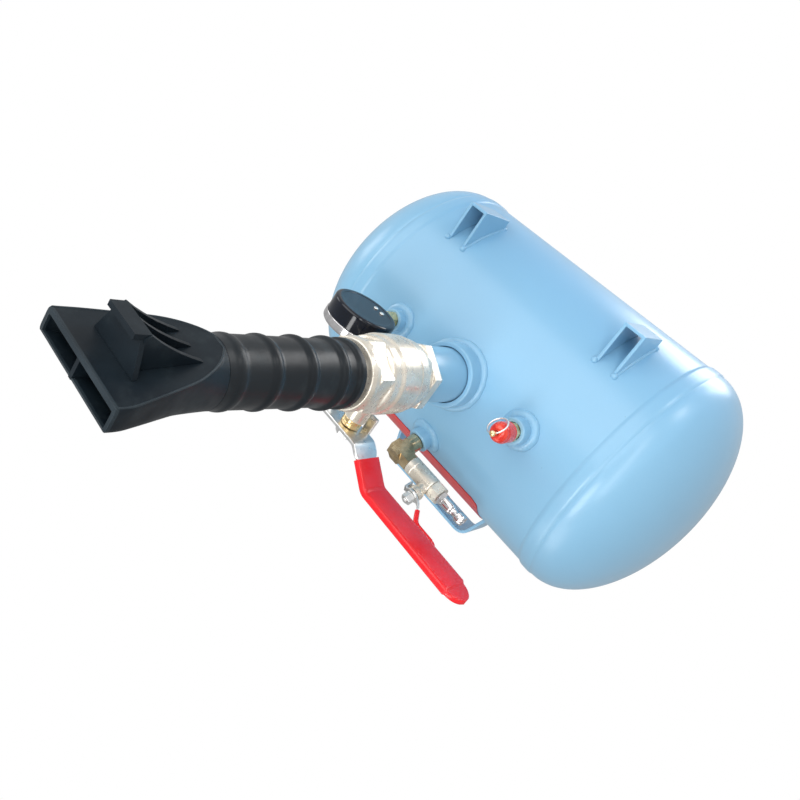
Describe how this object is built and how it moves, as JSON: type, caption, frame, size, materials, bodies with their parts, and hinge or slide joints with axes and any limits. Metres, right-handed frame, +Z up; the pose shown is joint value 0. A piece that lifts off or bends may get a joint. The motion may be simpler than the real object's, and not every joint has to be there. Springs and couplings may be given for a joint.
{
  "type": "bead seater blaster tank",
  "caption": "Portable steel air tank on two feet with a carry handle, a lever ball valve and fan nozzle on its front, a pressure gauge, a relief valve and a valved fill line.",
  "frame": {"origin": "on the ground, under the middle of the bounding box, with the tank standing on its feet", "axes": "+X along the tank axis towards the gauge end, -Y the way the nozzle blows, +Z up"},
  "size_m": [0.426, 0.6234, 0.291],
  "materials": {
    "tank_enamel": "glossy light blue enamel over welded steel",
    "label_red": "printed plastic film, left plain",
    "plated_brass": "satin nickel plating over cast brass",
    "bare_brass": "machined brass",
    "aged_brass": "dull, darkened brass",
    "zinc_steel": "zinc-plated steel",
    "bright_chrome": "polished",
    "red_vinyl": "dip-moulded soft vinyl",
    "nozzle_black": "moulded, semi-matt",
    "gauge_black": "gloss black",
    "seat_white": "plain PTFE",
    "clear_lens": "clear and polished",
    "dial_white": "matt white",
    "cap_red": "red-orange, slightly worn"
  },
  "bodies": {
    "tank": {"tank_shell": "tank_enamel", "end_cap_left": "tank_enamel", "end_cap_right": "tank_enamel", "outlet_socket": "tank_enamel", "relief_bung": "tank_enamel", "gauge_bung": "tank_enamel", "fill_bung": "tank_enamel", "foot_left": "tank_enamel", "foot_right": "tank_enamel", "carry_handle": "tank_enamel", "label_plate": "label_red", "outlet_pipe": "tank_enamel", "valve_end_cap": "plated_brass", "valve_body": "plated_brass", "seat_ring_rear": "seat_white", "seat_ring_front": "seat_white", "stem_packing": "seat_white", "gland_nut": "bare_brass", "nozzle_nipple": "zinc_steel", "nozzle_tube": "nozzle_black", "nozzle_head": "nozzle_black", "nozzle_hook": "nozzle_black", "relief_body": "bare_brass", "relief_cap": "cap_red", "relief_spring": "zinc_steel", "gauge_case": "gauge_black", "gauge_bezel": "bright_chrome", "gauge_lens": "clear_lens", "gauge_dial": "dial_white", "bourdon_tube": "bare_brass", "gauge_stem": "bare_brass", "gauge_back_screw_1": "zinc_steel", "gauge_back_screw_2": "zinc_steel", "fill_elbow": "aged_brass", "fill_valve_body": "plated_brass", "fill_valve_insert": "plated_brass", "fill_seat_in": "seat_white", "fill_seat_out": "seat_white", "air_nipple": "bright_chrome"},
    "main_valve_lever": {"valve_stem": "zinc_steel", "valve_ball": "bright_chrome", "main_lever": "zinc_steel", "main_lever_sleeve": "red_vinyl", "main_lever_nut": "zinc_steel"},
    "fill_valve_lever": {"fill_ball": "bright_chrome", "fill_stem": "zinc_steel", "fill_lever": "zinc_steel", "fill_lever_sleeve": "red_vinyl", "fill_lever_nut": "zinc_steel"},
    "relief_plunger": {"relief_pin": "bare_brass", "relief_poppet": "bare_brass"},
    "relief_pull_ring": {"relief_ring": "zinc_steel"},
    "needle": {"gauge_needle": "gauge_black"},
    "sector": {"gauge_sector": "bare_brass"}
  },
  "joints": [
    {"name": "main_lever_turn", "type": "hinge", "parent": "tank", "child": "main_valve_lever", "pos_m": [0.002, -0.04475, 0.182], "axis": [0, 0, 1], "range_deg": [0, 90]},
    {"name": "fill_lever_turn", "type": "hinge", "parent": "tank", "child": "fill_valve_lever", "pos_m": [-0.044, 0.04079, 0.22878], "axis": [0, 0.8161, -0.5779], "range_deg": [0, 90]},
    {"name": "relief_pull", "type": "slide", "parent": "tank", "child": "relief_plunger", "axis": [0, -1, 0], "range_m": [0, 0.003], "stiffness_N_per_m": 1500, "springref_m": -0.002, "deforming": ["relief_spring"]},
    {"name": "relief_ring_swing", "type": "hinge", "parent": "relief_plunger", "child": "relief_pull_ring", "pos_m": [-0.0774, 0.01485, 0.1205], "axis": [-0.7071, 0, -0.7071], "range_deg": [0, 270]},
    {"name": "gauge_needle_turn", "type": "hinge", "parent": "tank", "child": "needle", "pos_m": [0.0802, 0.00185, 0.1325], "axis": [0, 0, -1], "range_deg": [0, 270]},
    {"name": "gauge_sector_turn", "type": "hinge", "parent": "tank", "child": "sector", "pos_m": [0.0802, 0.02245, 0.1255], "axis": [0, 0, 1], "range_deg": [0, 30]}
  ],
  "couplings": [
    {"joint": "gauge_needle_turn", "follows": "gauge_sector_turn", "ratio": 9}
  ]
}
